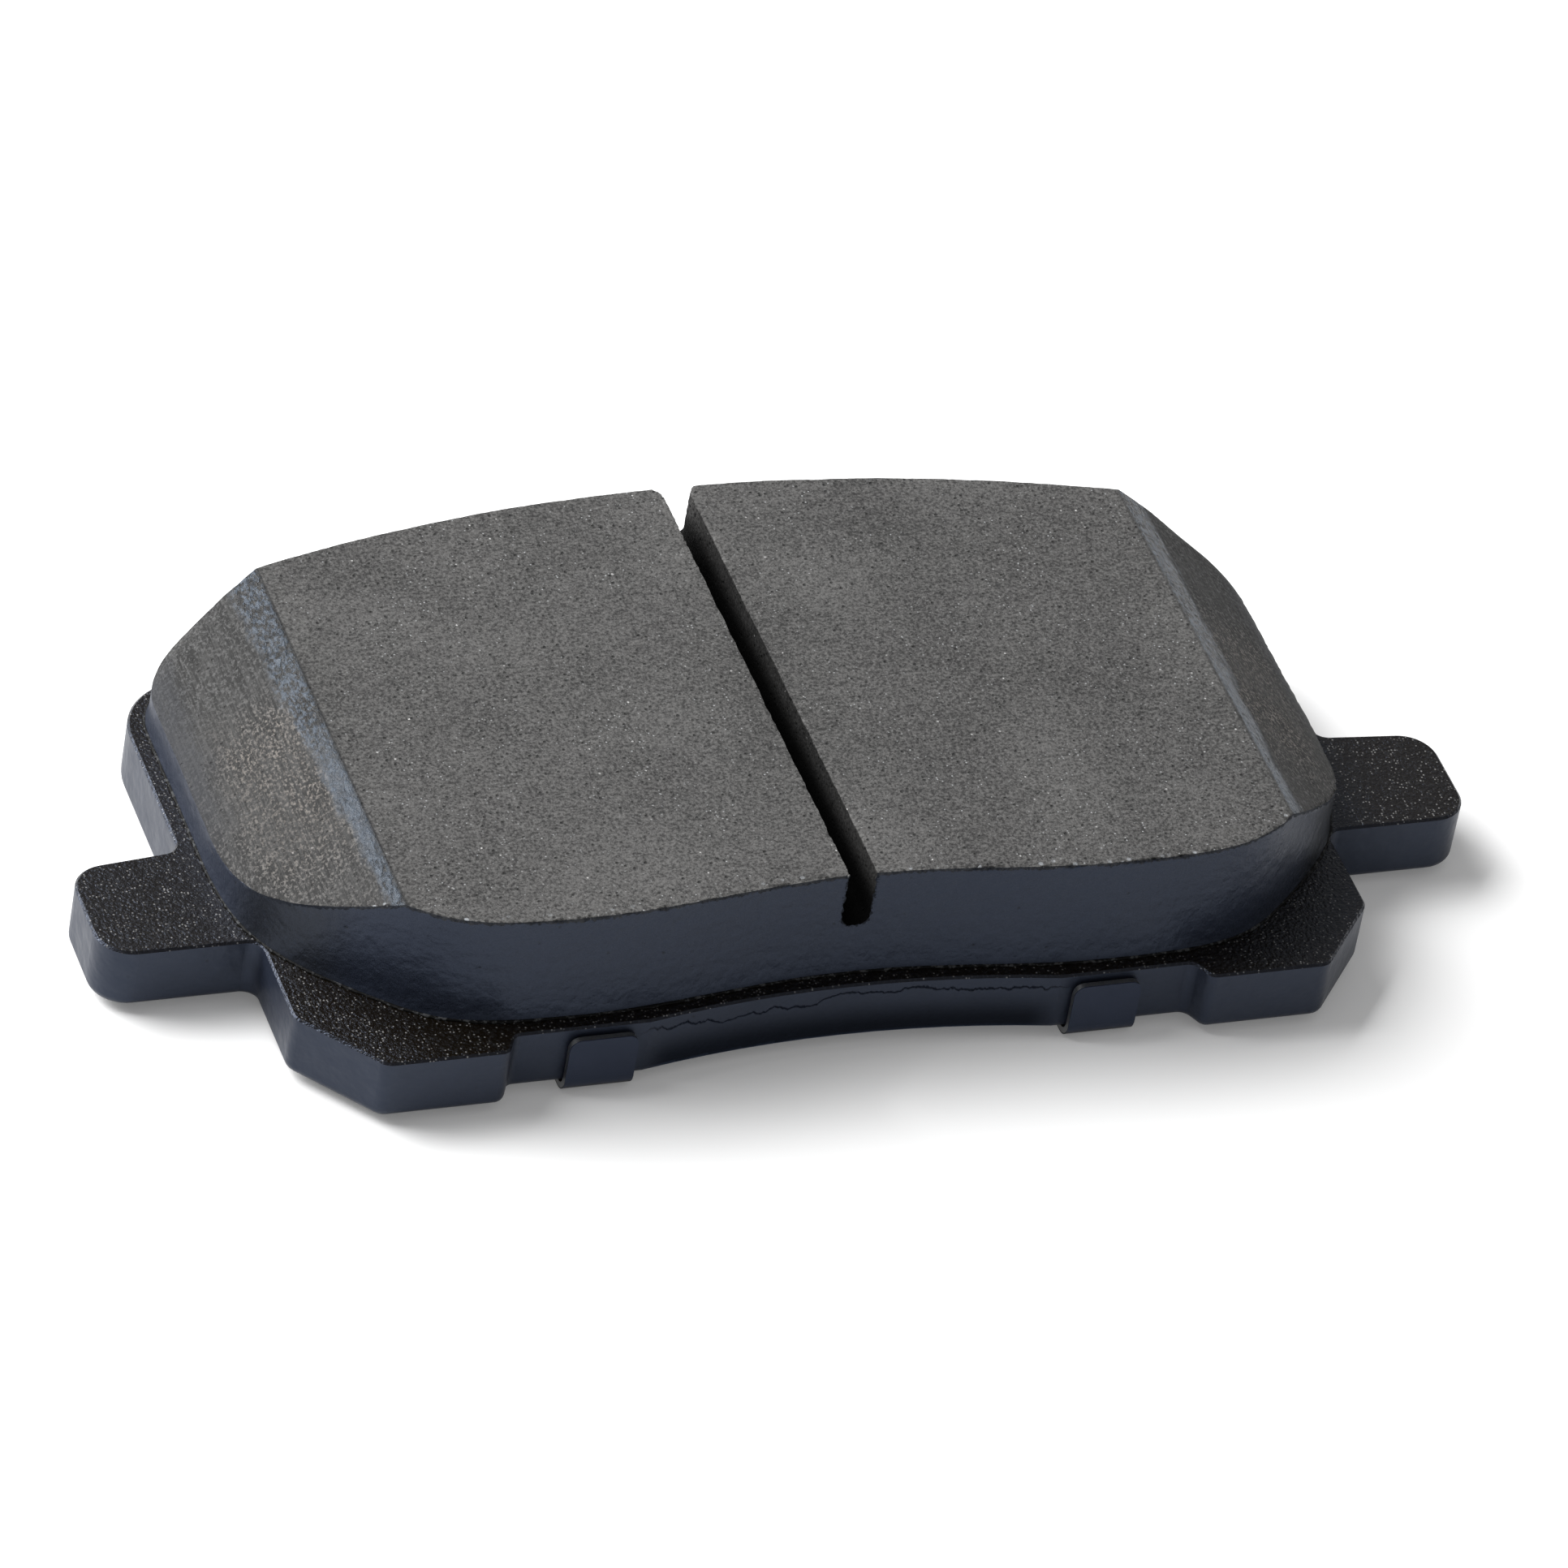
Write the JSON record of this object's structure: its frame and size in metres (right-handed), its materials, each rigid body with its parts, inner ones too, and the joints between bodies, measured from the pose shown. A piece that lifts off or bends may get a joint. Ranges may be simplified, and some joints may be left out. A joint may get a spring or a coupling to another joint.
{
  "type": "disc brake pad",
  "caption": "Disc brake pad with eared steel backing plate, slotted and chamfered friction block, and a clip-on rubber-coated shim.",
  "frame": {"origin": "on the plane of symmetry, midway between the lower lobes and the crown, on the outer face of the shim", "axes": "+X along the pad from ear to ear, +Y away from the wheel centre, +Z from the piston towards the disc"},
  "size_m": [0.1246, 0.0596, 0.0176],
  "materials": {
    "shim_rubber": "smooth black rubber coat with a low gloss",
    "shim_steel": "thin spring steel, dark satin",
    "shim_adhesive": "matte pressure-sensitive adhesive",
    "painted_plate": "black powder coat, textured on the faces and satin on the edges",
    "bond": "dark cured resin line",
    "underlayer": "dense moulded underlayer, painted on its wall",
    "friction": "ground friction compound with metal flecks"
  },
  "bodies": {
    "root": {"shim_outer_coat": "shim_rubber", "shim_steel": "shim_steel", "shim_inner_coat": "shim_rubber", "shim_adhesive": "shim_adhesive", "backing_plate": "painted_plate", "bond_layer": "bond", "underlayer": "underlayer", "friction_block": "friction"}
  },
  "joints": []
}
